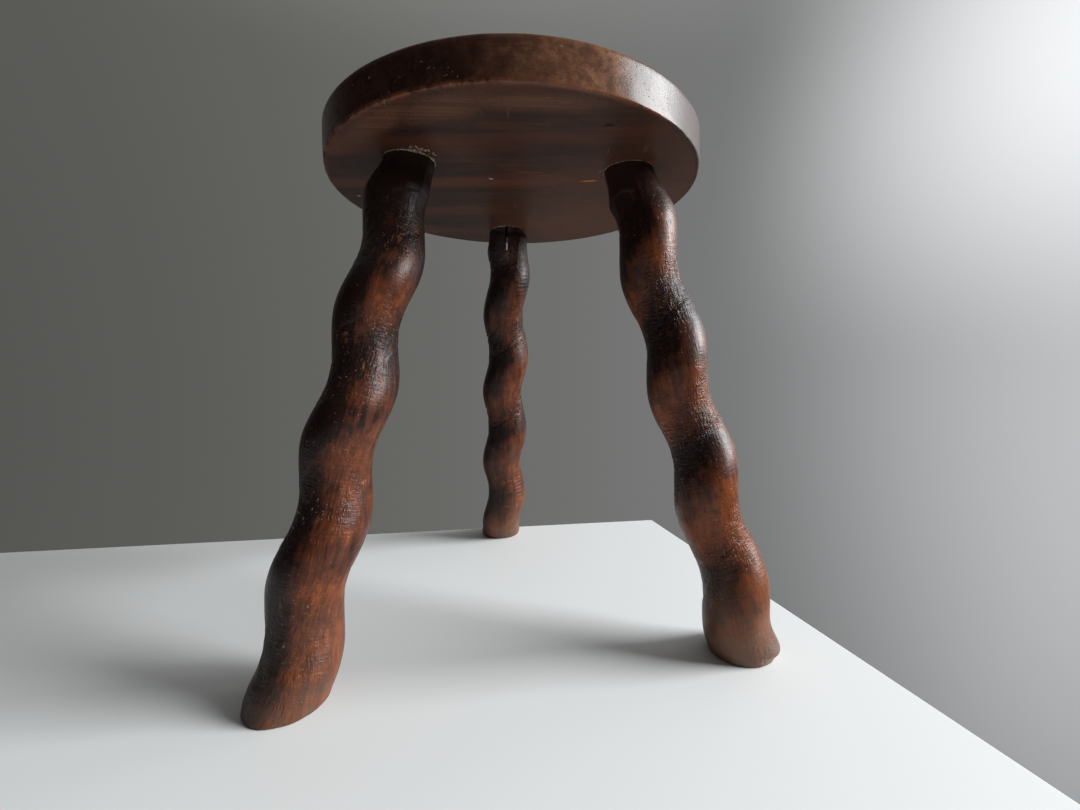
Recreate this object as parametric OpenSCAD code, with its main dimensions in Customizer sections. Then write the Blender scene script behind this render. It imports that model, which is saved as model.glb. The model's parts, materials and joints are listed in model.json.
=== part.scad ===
// Three leg stool: a thick round seat on three splayed legs.
// Each leg is carved as a right-hand corkscrew: a round bar whose centre winds about a straight axis.
// A leg's neck goes right through the seat as a round tenon, sawn down its middle and spread by a wedge.
// Millimetres, +Z up, +Y towards the back leg. The origin is on the floor, under the middle of the
// box that holds the stool.
// Values in threes are for the back leg, the left leg and the right leg, in that order.

/* [Seat] */
// Diameter of the seat
seat_d = 310; // [290:5:340]
// Thickness of the seat
seat_t = 27; // [23:1:32]
// Height of the seat's top above the floor
seat_h = 408; // [380:1:450]
// Radius of the rounded edge between the seat's top and its side
top_edge_r = 2; // [1:0.5:8]
// Radius of the worn edge between the seat's side and its underside
under_edge_r = 2; // [1:0.5:6]

/* [Leg positions] */
// Distance of each leg's axis from the seat's axis, at the underside
top_reach = [109, 98.5, 102]; // [90:0.5:115]
// Distance of each leg's axis from the seat's axis, at the floor
foot_reach = [217, 194.5, 194.5]; // [180:0.5:230]
// Direction of each leg's axis from the seat's axis at the underside, in degrees from +X
top_turn = [95, 215.5, 333]; // [0:0.5:360]
// Direction of each leg's axis from the seat's axis at the floor, in degrees from +X
foot_turn = [96, 214.5, 336]; // [0:0.5:360]

/* [Leg shape] */
// Diameter of a leg just below its neck
leg_d = 45; // [43:1:50]
// Diameter of each leg at its thickest, above the foot
shin_d = [50, 52, 50]; // [46:1:55]
// Diameter of each leg at the floor
foot_d = [50, 51.5, 49.5]; // [44:0.5:55]
// Length of the neck, in which a leg swells from its tenon to its full diameter
neck_l = 24; // [22:1:34]
// Length above the floor in which a leg draws in to its foot
foot_l = 40; // [25:5:60]
// Distance of the centre of the leg from its straight axis
twist_r = 4; // [2:0.5:5]
// Length of one turn of each leg's twist
twist_pitch = [95, 96, 95.5]; // [85:0.5:115]
// Direction of each leg's twist at the seat, in degrees about the leg's axis from outwards
twist_start = [281, 274, 200]; // [0:1:360]
// Length of leg in which the twist grows from nothing
twist_in = 26; // [24:1:40]

/* [Tenons and wedges] */
// Diameter of a leg's tenon
tenon_d = 38; // [34:1:39]
// Gap between a tenon and its mortise, which glue fills
glue_gap = 0.1; // [0.05:0.05:0.3]
// Width of the saw cut down a tenon
cut_w = 2.6; // [1.6:0.2:3]
// Depth of each saw cut below the seat's underside, along the leg. Below 0, it ends inside the seat
cut_depth = [20, -5, -5]; // [-6:1:35]
// Thickness of a wedge at the seat's top
wedge_t = 5; // [4:0.5:7]
// Height of a wedge's tip above the seat's underside, along the leg
wedge_tip = 7; // [7:1:12]

/* [Hidden] */

BACK = 0;
LEFT = 1;
RIGHT = 2;
LEGS = [BACK, LEFT, RIGHT];

SEAT_COLOUR = [0.30, 0.17, 0.10];
LEG_COLOUR = [0.38, 0.19, 0.09];
WEDGE_COLOUR = [0.50, 0.33, 0.18];

// A leg's surface has this many level rings, with this many points in each
RINGS = 64;
SIDES = 24;
// Steps in each rounded edge of the seat
EDGE_STEPS = 6;

under_h = seat_h - seat_t;
tenon_r = tenon_d / 2;
// The carved surface starts this far inside the tenon's, and comes through it as it swells
start_inset = 1.2;
// How far below the underside the neck starts to swell, and the twist starts to grow
neck_start = 4;
twist_start_l = 9;
// How far down inside the leg the tenon's cylinder goes
tenon_root = 20;
// More than the length of any tenon in the seat, and a length past the underside for clean cuts
through_l = seat_t + 30;
past = 20;
// Turn of a tenon's and a mortise's closing line about the leg's axis
SEAM_TURN = 70;

function polar(r, turn, z) = [r * cos(turn), r * sin(turn), z];
function unit(v) = v / norm(v);
function clamp01(x) = min(1, max(0, x));
// 0 before x = 0, 1 after x = 1 and smooth between
function ease(x) = let (c = clamp01(x)) c * c * (3 - 2 * c);

// Each leg's straight axis, from the seat's underside to the floor
axis_top = [for (k = LEGS) polar(top_reach[k], top_turn[k], under_h)];
axis_foot = [for (k = LEGS) polar(foot_reach[k], foot_turn[k], 0)];
axis_l = [for (k = LEGS) norm(axis_foot[k] - axis_top[k])];
// The leg's own directions: down its axis, outwards and sideways
down = [for (k = LEGS) unit(axis_foot[k] - axis_top[k])];
sideways = [for (k = LEGS) unit(cross(down[k], polar(1, foot_turn[k], 0)))];
outwards = [for (k = LEGS) cross(sideways[k], down[k])];
// The angles that lay +Z up along the leg's axis, and turn +X along the saw cut, square to the grain
lean = [for (k = LEGS) acos(-down[k].z)];
heading = [for (k = LEGS) atan2(-down[k].y, -down[k].x)];
cut_turn = [for (k = LEGS) atan2(cos(heading[k]), cos(lean[k]) * sin(heading[k]))];

// The carved leg at a length l down its axis
function neck_r(l) =
    tenon_r - start_inset + (leg_d / 2 - tenon_r + start_inset) * ease((l - neck_start) / neck_l);
function swell(k, l) = (shin_d[k] - leg_d) / 2 * clamp01(l / axis_l[k]);
function draw_in(k, l) = (shin_d[k] - foot_d[k]) / 2 * ease((l - axis_l[k] + foot_l) / foot_l);
function leg_r(k, l) = neck_r(l) + swell(k, l) - draw_in(k, l);
function twist_angle(k, l) = twist_start[k] + 360 * l / twist_pitch[k];
function twist_reach(l) = twist_r * ease((l - twist_start_l) / twist_in);
// A point of its surface, as an offset from the axis, at the angle a about the axis
function skin(k, l, a) =
    let (r = leg_r(k, l), t = twist_angle(k, l), c = twist_reach(l))
    outwards[k] * (c * cos(t) + r * cos(a)) + sideways[k] * (c * sin(t) + r * sin(a));
// The length down the axis at which that point is at the height z, closer with each try
function level_l(k, z, a, l, tries) =
    tries == 0 ? l
    : level_l(k, z, a, (z - under_h - skin(k, l, a).z) / down[k].z, tries - 1);
function level_point(k, z, a) =
    let (l = level_l(k, z, a, (z - under_h) / down[k].z, 5))
    axis_top[k] + down[k] * l + skin(k, l, a);
// Level rings from just under the seat to the floor
function ring_z(i) = (under_h - 1) * (1 - i / (RINGS - 1));
rings = [for (k = LEGS) [for (i = [0 : RINGS - 1])
    [for (j = [0 : SIDES - 1]) level_point(k, ring_z(i), 360 * j / SIDES)]]];

// The middle of the box that holds the stool, from above
function span_mid(axis) =
    let (feet = [for (leg = rings) for (ring = leg) for (p = ring) p[axis]],
         all = concat(feet, [-seat_d / 2, seat_d / 2]))
    (min(all) + max(all)) / 2;
middle = [span_mid(0), span_mid(1), 0];

// Half of the seat's section, with both edges rounded
function edge(centre, r, from) =
    [for (i = [0 : EDGE_STEPS]) let (a = from + 90 * i / EDGE_STEPS) centre + r * [cos(a), sin(a)]];
seat_outline = concat(
    [[0, under_h]],
    edge([seat_d / 2 - under_edge_r, under_h + under_edge_r], under_edge_r, -90),
    edge([seat_d / 2 - top_edge_r, seat_h - top_edge_r], top_edge_r, 0),
    [[0, seat_h]]
);

// Puts what is drawn in the stool's own frame
module placed() {
    translate(-middle) children();
}

// Stands what is drawn on the point where the leg's axis meets the underside, with +Z up the leg
module along_leg(k) {
    translate(axis_top[k]) rotate([0, lean[k], heading[k]]) children();
}

// The same, with +X along the saw cut and +Y across it
module along_cut(k) {
    along_leg(k) rotate([0, 0, cut_turn[k]]) children();
}

// A round bar along the leg's axis, from a height above the underside to clear of the seat's top.
// It is turned so that the line where its surface closes isn't on the side it leans to.
module bar(k, from, r) {
    along_leg(k) rotate([0, 0, SEAM_TURN]) translate([0, 0, from])
        cylinder(h = through_l - from, r = r, $fn = 64);
}

// All the space above the seat
module above_seat() {
    translate([-seat_d, -seat_d, seat_h]) cube([2 * seat_d, 2 * seat_d, 2 * through_l]);
}

module seat() {
    color(SEAT_COLOUR) placed() difference() {
        rotate_extrude($fn = 120) polygon(seat_outline);
        for (k = LEGS) {
            bar(k, -past, tenon_r + glue_gap);
        }
    }
}

// The carved part of a leg, from just under the seat to the floor
module carved(k) {
    points = [for (ring = rings[k]) each ring];
    top_cap = [for (j = [0 : SIDES - 1]) j];
    foot_cap = [for (j = [SIDES - 1 : -1 : 0]) (RINGS - 1) * SIDES + j];
    skin_faces = [for (i = [0 : RINGS - 2]) for (j = [0 : SIDES - 1])
        let (a = i * SIDES + j, b = i * SIDES + (j + 1) % SIDES, c = b + SIDES, d = a + SIDES)
        each [[a, d, b], [b, d, c]]];
    polyhedron(points, concat([top_cap, foot_cap], skin_faces), convexity = 4);
}

// A wedge's section across the saw cut, long enough to stand above the seat
function wedge_half(z) =
    let (seat_l = seat_t / cos(max(lean)))
    (cut_w + (wedge_t - cut_w) * (z - wedge_tip) / (seat_l - wedge_tip)) / 2;

module wedge_blank(k) {
    low = wedge_half(wedge_tip);
    high = wedge_half(through_l);
    along_cut(k) rotate([90, 0, 90]) translate([0, 0, -tenon_d])
        linear_extrude(2 * tenon_d)
            polygon([[-low, wedge_tip], [low, wedge_tip], [high, through_l], [-high, through_l]]);
}

module saw_cut(k) {
    along_cut(k) translate([-tenon_d, -cut_w / 2, -cut_depth[k]])
        cube([2 * tenon_d, cut_w, cut_depth[k] + through_l]);
}

module leg(k) {
    color(LEG_COLOUR) placed() difference() {
        union() {
            carved(k);
            bar(k, -tenon_root, tenon_r);
        }
        saw_cut(k);
        wedge_blank(k);
        above_seat();
    }
}

module wedge(k) {
    color(WEDGE_COLOUR) placed() difference() {
        intersection() {
            wedge_blank(k);
            bar(k, 0, tenon_r);
        }
        above_seat();
    }
}

module back_leg() leg(BACK);
module left_leg() leg(LEFT);
module right_leg() leg(RIGHT);
module back_wedge() wedge(BACK);
module left_wedge() wedge(LEFT);
module right_wedge() wedge(RIGHT);

seat();
back_leg();
left_leg();
right_leg();
back_wedge();
left_wedge();
right_wedge();
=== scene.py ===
import json
import math

import bmesh
import bpy
import numpy as np
from mathutils import Matrix, Vector
from mathutils.bvhtree import BVHTree


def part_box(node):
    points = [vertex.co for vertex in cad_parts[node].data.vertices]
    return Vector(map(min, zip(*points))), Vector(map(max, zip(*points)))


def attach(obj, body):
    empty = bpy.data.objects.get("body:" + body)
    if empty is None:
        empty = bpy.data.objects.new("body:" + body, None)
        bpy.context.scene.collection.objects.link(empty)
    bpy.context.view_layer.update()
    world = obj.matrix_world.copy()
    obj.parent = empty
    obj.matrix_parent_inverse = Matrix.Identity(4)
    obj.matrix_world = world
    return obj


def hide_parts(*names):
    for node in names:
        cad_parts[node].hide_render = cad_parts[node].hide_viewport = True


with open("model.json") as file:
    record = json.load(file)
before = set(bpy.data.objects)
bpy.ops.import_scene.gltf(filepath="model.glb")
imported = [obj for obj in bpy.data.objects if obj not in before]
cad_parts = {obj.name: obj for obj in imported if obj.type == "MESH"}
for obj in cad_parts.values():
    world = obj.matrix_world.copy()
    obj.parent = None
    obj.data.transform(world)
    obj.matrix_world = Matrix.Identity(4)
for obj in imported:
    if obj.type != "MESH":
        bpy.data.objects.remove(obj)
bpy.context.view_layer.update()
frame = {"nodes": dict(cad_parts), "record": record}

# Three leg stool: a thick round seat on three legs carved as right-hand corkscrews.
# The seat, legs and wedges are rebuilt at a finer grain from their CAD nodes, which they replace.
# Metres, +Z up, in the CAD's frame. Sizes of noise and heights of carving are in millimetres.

MOUNTS = {m["name"]: np.array(m["pos_m"], float) for m in frame["record"]["mounts"]}
MM = 0.001
LEGS = ("back", "left", "right")

SEAT_LOW, SEAT_HIGH = (np.array(corner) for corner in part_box("seat"))
SEAT_AXIS = (SEAT_LOW + SEAT_HIGH) / 2
SEAT_R = (SEAT_HIGH[0] - SEAT_LOW[0]) / 2
UNDER_Z, TOP_Z = SEAT_LOW[2], SEAT_HIGH[2]
# CAD points this close to the seat's top, or to a wedge's tip, count as lying on it
ON_TOP, ON_TIP = 1e-5, 1e-4
# Edges that turn by more than these angles stay sharp, in degrees
WOOD_SHARP, GLUE_SHARP = 38, 50


# -------- noise and small maths


def lattice(ix, iy, iz, seed):
    """A fixed random number from -1 to 1 at each whole point, made by mixing bits with odd numbers."""
    h = (
        ix.astype(np.uint32) * np.uint32(374761393)
        + iy.astype(np.uint32) * np.uint32(668265263)
        + iz.astype(np.uint32) * np.uint32(2246822519)
        + np.uint32(seed * 40503 + 12345)
    )
    h ^= h >> np.uint32(15)
    h *= np.uint32(2246822507)
    h ^= h >> np.uint32(13)
    h *= np.uint32(3266489909)
    h ^= h >> np.uint32(16)
    return h.astype(np.float64) / 2147483647.5 - 1.0


def noise(p, size, seed):
    """Smooth noise from about -1 to 1 at the points p, with lumps of that size."""
    q = p / size
    cell = np.floor(q).astype(np.int64)
    f = q - cell
    f = f * f * f * (f * (f * 6 - 15) + 10)
    total = 0.0
    for dx in (0, 1):
        wx = f[..., 0] if dx else 1 - f[..., 0]
        for dy in (0, 1):
            wy = f[..., 1] if dy else 1 - f[..., 1]
            for dz in (0, 1):
                wz = f[..., 2] if dz else 1 - f[..., 2]
                value = lattice(cell[..., 0] + dx, cell[..., 1] + dy, cell[..., 2] + dz, seed)
                total = total + wx * wy * wz * value
    return total


def fractal(p, size, octaves, seed):
    """Noise from about -1 to 1 with lumps of that size, and others a half as big each time."""
    total, weight = 0.0, 0.0
    for i in range(octaves):
        total = total + noise(p, size / 2**i, seed + 17 * i) / 2**i
        weight += 1 / 2**i
    return total / weight


def scallops(p, size, seed):
    """The bowls that a gouge leaves: 0 at the bottom of each, about 0.5 at the ridges between them."""
    q = p / size
    cell = np.floor(q).astype(np.int64)
    nearest = np.full(q.shape[:-1], np.inf)
    for dx in (-1, 0, 1):
        for dy in (-1, 0, 1):
            for dz in (-1, 0, 1):
                c = cell + np.array([dx, dy, dz])
                ix, iy, iz = c[..., 0], c[..., 1], c[..., 2]
                at = np.stack([lattice(ix, iy, iz, seed + 7 * i) for i in range(3)], -1)
                nearest = np.minimum(nearest, ((c + 0.5 + 0.42 * at - q) ** 2).sum(-1))
    return nearest


def step(low, high, x):
    """0 below low, 1 above high and smooth between."""
    t = np.clip((x - low) / (high - low), 0, 1)
    return t * t * (3 - 2 * t)


def bell(x, middle, width):
    """A smooth bump of height 1 about the middle."""
    return np.exp(-(((x - middle) / width) ** 2))


def all_round(n):
    """n angles, evenly spaced all the way round."""
    return np.arange(n) * 2 * np.pi / n


def unit(v):
    return v / np.linalg.norm(v)


# -------- meshes


def new_object(name, points, loops, totals):
    """A mesh object: its points, its faces' corners in one list, and how many each face has."""
    totals = np.asarray(totals, np.int32)
    mesh = bpy.data.meshes.new(name)
    mesh.vertices.add(len(points))
    mesh.vertices.foreach_set("co", np.asarray(points, np.float32).ravel())
    mesh.loops.add(len(loops))
    mesh.loops.foreach_set("vertex_index", np.asarray(loops, np.int32))
    mesh.polygons.add(len(totals))
    mesh.polygons.foreach_set("loop_start", (np.cumsum(totals) - totals).astype(np.int32))
    mesh.polygons.foreach_set("loop_total", totals)
    mesh.update(calc_edges=True)
    mesh.validate()
    o = bpy.data.objects.new(name, mesh)
    bpy.context.scene.collection.objects.link(o)
    return o


def closed_surface(name, rings, low_point, high_point):
    """Rings of points, counterclockwise seen from beyond the last, closed by a point at each end."""
    rows, cols = rings.shape[:2]
    points = np.vstack([rings.reshape(-1, 3), low_point, high_point])
    low, high = rows * cols, rows * cols + 1
    last = (rows - 1) * cols
    i = np.arange(rows - 1)[:, None] * cols
    j = np.arange(cols)
    k = (j + 1) % cols
    quads = np.stack([i + j, i + k, i + cols + k, i + cols + j], -1)
    low_fan = np.stack([k, j, np.full(cols, low)], -1)
    high_fan = np.stack([last + j, last + k, np.full(cols, high)], -1)
    loops = np.concatenate([quads.ravel(), low_fan.ravel(), high_fan.ravel()])
    return new_object(name, points, loops, np.repeat([4, 3], [last, 2 * cols]))


def vertices(o):
    co = np.empty(len(o.data.vertices) * 3, np.float32)
    o.data.vertices.foreach_get("co", co)
    return co.reshape(-1, 3).astype(float)


def attribute(o, name, values, kind="FLOAT"):
    layer = o.data.attributes.new(name, kind, "POINT")
    key = "vector" if kind == "FLOAT_VECTOR" else "value"
    layer.data.foreach_set(key, np.asarray(values, np.float32).ravel())


def cut(o, cutter):
    """Takes the cutter away from o, and removes the cutter."""
    modifier = o.modifiers.new("cut", "BOOLEAN")
    modifier.operation = "DIFFERENCE"
    modifier.solver = "MANIFOLD"
    modifier.object = cutter
    bpy.context.view_layer.update()
    depsgraph = bpy.context.evaluated_depsgraph_get()
    mesh = bpy.data.meshes.new_from_object(o.evaluated_get(depsgraph))
    o.modifiers.clear()
    o.data = mesh
    bpy.data.objects.remove(cutter)


def new_mesh_of_faces(name, points, faces):
    """A closed mesh of those faces, which are turned to look outwards."""
    o = new_object(name, points, [v for f in faces for v in f], [len(f) for f in faces])
    bm = bmesh.new()
    bm.from_mesh(o.data)
    bmesh.ops.recalc_face_normals(bm, faces=bm.faces)
    bm.to_mesh(o.data)
    bm.free()
    return o


def finish_with(o, material):
    o.data.materials.clear()
    o.data.materials.append(material)
    o.data.polygons.foreach_set("material_index", np.zeros(len(o.data.polygons), np.int32))


def smooth(o, sharp_above):
    o.data.shade_smooth()
    o.data.set_sharp_from_angle(angle=math.radians(sharp_above))


# -------- the legs' CAD surface

# Rays are cast at the axis from all round it, at levels from one end of the leg to the other
RAYS = 48
RAYS_FROM = 0.06
LEVEL_STEP = 3 * MM
FIRST_LEVEL, LAST_LEVEL = 9 * MM, 6 * MM
# A ray that lands this far off the fitted waves has met the saw cut or the seat's end of the leg
STRAY = 0.7 * MM
# The waves are smoothed over this many levels to each side, by a bell curve of this width
SMOOTH_REACH, SMOOTH_WIDTH = 3, 1.3
# Levels added below the first, the levels that tell how fast the surface turns there, and those at
# the top that are all in the tenon
EXTRA_LEVELS = 6
TURNING_AT, TENON_AT = slice(2, 9), slice(-6, None)
# The twist is steady down to the floor from this far below the seat
STEADY_BELOW = 30 * MM
# The waves round the axis: once, twice and three times
WAVES = (1, 2, 3)


class Leg:
    """A leg's straight axis, and the radius of its CAD surface about it."""

    def __init__(self, side, seed):
        self.side, self.seed = side, seed
        node = frame["nodes"][side + "_leg"]
        co = vertices(node)
        top = co[co[:, 2] > TOP_Z - ON_TOP]
        self.foot = MOUNTS[side + "_foot"]
        self.top = (top.min(0) + top.max(0)) / 2
        self.length = np.linalg.norm(self.top - self.foot)
        self.up = unit(self.top - self.foot)
        away = self.foot - SEAT_AXIS
        away[2] = 0
        self.out = unit(away - self.up * (away @ self.up))
        self.across = np.cross(self.up, self.out)
        # The saw cut holds the axis and runs square to the seat's grain, which is along X
        self.cut_normal = unit(np.cross([0, 1, 0], self.up))
        self.cut_along = np.cross(self.cut_normal, self.up)
        self.under_l = self.length * (UNDER_Z - self.foot[2]) / (self.top[2] - self.foot[2])
        self.measure(node)

    def direction(self, a):
        return np.cos(a)[..., None] * self.out + np.sin(a)[..., None] * self.across

    def measure(self, node):
        """Casts rays at the CAD node, and keeps its radius as a few smooth waves about the axis."""
        tree = BVHTree.FromPolygons(
            [v.co[:] for v in node.data.vertices], [p.vertices[:] for p in node.data.polygons]
        )
        angles = all_round(RAYS)
        directions = self.direction(angles)
        levels = np.arange(FIRST_LEVEL, self.length - LAST_LEVEL, LEVEL_STEP)
        waves = np.stack(
            [np.ones(RAYS)] + [f(n * angles) for n in WAVES for f in (np.cos, np.sin)], -1
        )
        rows = []
        for l in levels:
            middle = self.foot + self.up * l
            radii = np.full(RAYS, np.nan)
            for i, d in enumerate(directions):
                hit = tree.ray_cast(Vector(middle + d * RAYS_FROM), Vector(-d), RAYS_FROM)[0]
                if hit is not None:
                    radii[i] = (np.array(hit) - middle) @ d
            good = np.isfinite(radii)
            for _ in range(3):
                fit = np.linalg.lstsq(waves[good], radii[good], rcond=None)[0]
                good = np.isfinite(radii) & (np.abs(radii - waves @ fit) < STRAY)
            rows.append(fit)
        rows = np.array(rows)
        kernel = np.exp(-0.5 * (np.arange(-SMOOTH_REACH, SMOOTH_REACH + 1) / SMOOTH_WIDTH) ** 2)
        kernel /= kernel.sum()
        padded = np.pad(rows, ((SMOOTH_REACH, SMOOTH_REACH), (0, 0)), "edge")
        rows = np.stack([np.convolve(column, kernel, "valid") for column in padded.T], -1)
        radius = rows[:, 0]
        turning = [rows[:, 2 * n - 1] + 1j * rows[:, 2 * n] for n in WAVES]
        # The surface carries on turning below the lowest level that all the rays can reach
        rate = np.diff(np.unwrap(np.angle(turning[0][TURNING_AT]))).mean()
        extra = np.arange(-EXTRA_LEVELS, 0)
        self.turning = [
            np.concatenate([wave[0] * np.exp(1j * rate * n * extra), wave])
            for n, wave in zip(WAVES, turning)
        ]
        self.levels = np.concatenate([levels[0] + extra * LEVEL_STEP, levels])
        self.radius = np.concatenate([np.full(EXTRA_LEVELS, radius[0]), radius])
        self.tenon_r = self.radius[TENON_AT].mean()
        self.phase = np.unwrap(np.angle(self.turning[0]))
        steady = self.levels < self.under_l - STEADY_BELOW
        line = np.polyfit(self.levels[steady], self.phase[steady], 1)
        self.phase = np.where(steady, self.phase, np.polyval(line, self.levels))

    def surface_r(self, l, a):
        """The CAD surface's radius at the length l up the axis and the angle a about it."""
        r = np.interp(l, self.levels, self.radius)
        for n, wave in zip(WAVES, self.turning):
            there = np.interp(l, self.levels, wave.real) + 1j * np.interp(l, self.levels, wave.imag)
            r = r + (there * np.exp(-1j * n * a)).real
        inside = step(self.under_l - 5 * MM, self.under_l - 1 * MM, l)
        return r * (1 - inside) + self.tenon_r * inside

    def crest(self, l, a):
        """1 along the crest of the twist and -1 along its hollow, fading to 0 at the neck."""
        turn = a - np.interp(l, self.levels, self.phase)
        return np.cos(turn) * step(10 * MM, 40 * MM, self.under_l - l)

    def place(self, l, r, a):
        return self.foot + l[..., None] * self.up + r[..., None] * self.direction(a)

    def local(self, points):
        """(length up the axis, radius, angle) of points."""
        offset = points - self.foot
        l = offset @ self.up
        x, y = offset @ self.out, offset @ self.across
        return l, np.hypot(x, y), np.arctan2(y, x)

    def grain(self, l, r, a):
        """The wood's own coordinates, with Z along the grain."""
        return np.stack([r * np.cos(a), r * np.sin(a), l], -1)


# -------- carving

# Knife facets round each neck
NECK_FACETS = 10
# The angle about the back leg's axis that looks to the right, where its neck is thickest
BACK_NECK_SIDE = -math.pi / 2
# Torn grain: the size of its wrinkles and their height
TORN_SIZE = {"back": 8.5, "left": 5.5, "right": 5.5}
TORN = {"back": 0.95, "left": 0.45, "right": 0.12}
# The height of the crisp border round the hollows
CREASED = {"back": 0.45, "left": 0.35, "right": 0.60}
# Chatter across the crests: the length of one ripple and its height
RIPPLE_LENGTH = {"back": 4.4, "left": 3.4, "right": 3.4}
RIPPLE = {"back": 0.26, "left": 0.035, "right": 0.035}
# The flared lips of two feet: the angle about the axis and the width, in radians
LEFT_LIP, RIGHT_LIP = (-0.6, 0.9), (-0.15, 0.75)
# The bands of stain and painted shade lie darkest a little below the middle of each hollow
STAIN_AND_SHADE_SHIFT = 21 * MM
# How thick the stain is, how strongly the stain and painted shade follow the twist, how much
# painted shade darkens the left sides, away from the window, and how much all of that counts
STAIN_AND_SHADE_GAIN = 0.46
STAIN_DEPTH = {"back": 0.60, "left": 0.53, "right": 0.45}
TWIST_STAIN_AND_SHADE = {"back": 0.75, "left": 0.62, "right": 1.2}
LEFT_SHADE = {"back": 0.9, "left": 1.7, "right": 0.6}
# How much rasp there is on a leg, and how dirty its foot is
RASPED = {"back": 0.4, "left": 0.42, "right": 1.0}
DIRTY = {"back": 0.6, "left": 0.4, "right": 1.0}
# Painted shade round the necks, under the seat: how far below the seat it reaches, in mm
NECK_SHADE = {"back": 22, "left": 60, "right": 52}
# How far each saw cut goes below the seat, along the leg: the front legs' end inside the seat
CUT_DEPTH = {"back": 20 * MM, "left": -5 * MM, "right": -5 * MM}
# Points round a leg and levels in its tenon. Then, in mm, the levels close to its sole, and the first
# and the spacing of the levels from there to the seat
LEG_COLS, TENON_LEVELS = 156, 12
SOLE_LEVELS = [0, 0.25, 0.6, 1.0, 1.5, 2.1, 2.8]
SPACED_FROM, LEG_SPACING = 3.6, 0.92
# The rings of a sole and a tenon's end, as shares of its rim
LEG_END_RINGS = (0.97, 0.9, 0.8, 0.68, 0.54, 0.4, 0.26, 0.12)
# How far a saw cut's cutter stands off the wedge, past the leg's top and out to each side
WEDGE_GAP, CUTTER_PAST, CUTTER_REACH = 0.06 * MM, 12 * MM, 40 * MM


def bump_at(a, middle, width):
    """A smooth bump of height 1 about the angle middle, all in radians."""
    return np.exp(-((np.angle(np.exp(1j * (a - middle))) / width) ** 2))


def carving(leg, l, r, a):
    """What the tools left on a leg: (height over the CAD surface in mm, the hollows' mask)."""
    q = leg.grain(l, r, a) / MM + leg.seed * 311.0
    lm, below = l / MM, (leg.under_l - l) / MM
    wander = 0.35 * fractal(q, 26, 2, 5)
    hollow = step(0.15, 0.85, -leg.crest(l, a) + wander) * step(12, 30, lm)
    height = 0.55 * fractal(q, 42, 2, 1) + 0.24 * fractal(q, 13, 2, 2)
    # Gouge marks that meet in ridges, across the hollows and on the neck
    neck = step(2, 5, below) * (1 - step(24, 42, below))
    marks = scallops(q * np.array([1.0, 1.0, 0.75]), 9.5, 3) - 0.2
    height += (0.8 * hollow * step(-0.5, 0.4, noise(q, 30, 4)) + 0.6 * neck) * marks
    height += hollow * 0.24 * fractal(q, 4.5, 2, 6)
    # Torn, wrinkled grain where the tools cut against it
    slanted = q @ np.array([[0.9, 0.0, -0.3], [0.0, 0.9, 0.3], [0.25, -0.25, 0.55]])
    torn = 1 - 2.2 * np.abs(fractal(slanted, TORN_SIZE[leg.side], 2, 11))
    height += hollow * TORN[leg.side] * torn * step(-0.3, 0.5, noise(q, 22, 12))
    # The hollows were cut in from a fairly crisp border
    height += CREASED[leg.side] * (0.5 - step(0.06, 0.24, hollow + 0.12 * noise(q, 6, 10)))
    # Chatter across the crests, in patches
    ripple = np.sin(2 * np.pi * (lm + 1.5 * noise(q, 18, 7)) / RIPPLE_LENGTH[leg.side])
    patch = step(0.1, 0.5, fractal(q, 48, 2, 8)) * (1 - 0.6 * hollow) * step(8, 20, below)
    height += RIPPLE[leg.side] * ripple * patch
    if leg.side == "back":
        # This neck is thick right up to the seat, most of all on its right
        thick = 1.0 + 2.4 * bump_at(a, BACK_NECK_SIDE, 0.9)
        height += thick * step(0.2, 1.5, below) * (1 - step(9, 34, below))
    # Knife facets round the neck
    spread = a + 0.25 * noise(q, 30, 9)
    corner = np.abs(((spread * NECK_FACETS / (2 * np.pi)) % 1.0) - 0.5) * 2
    height -= 0.5 * (1 - corner**2) * neck
    return height * step(-1, 6, below), hollow


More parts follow.
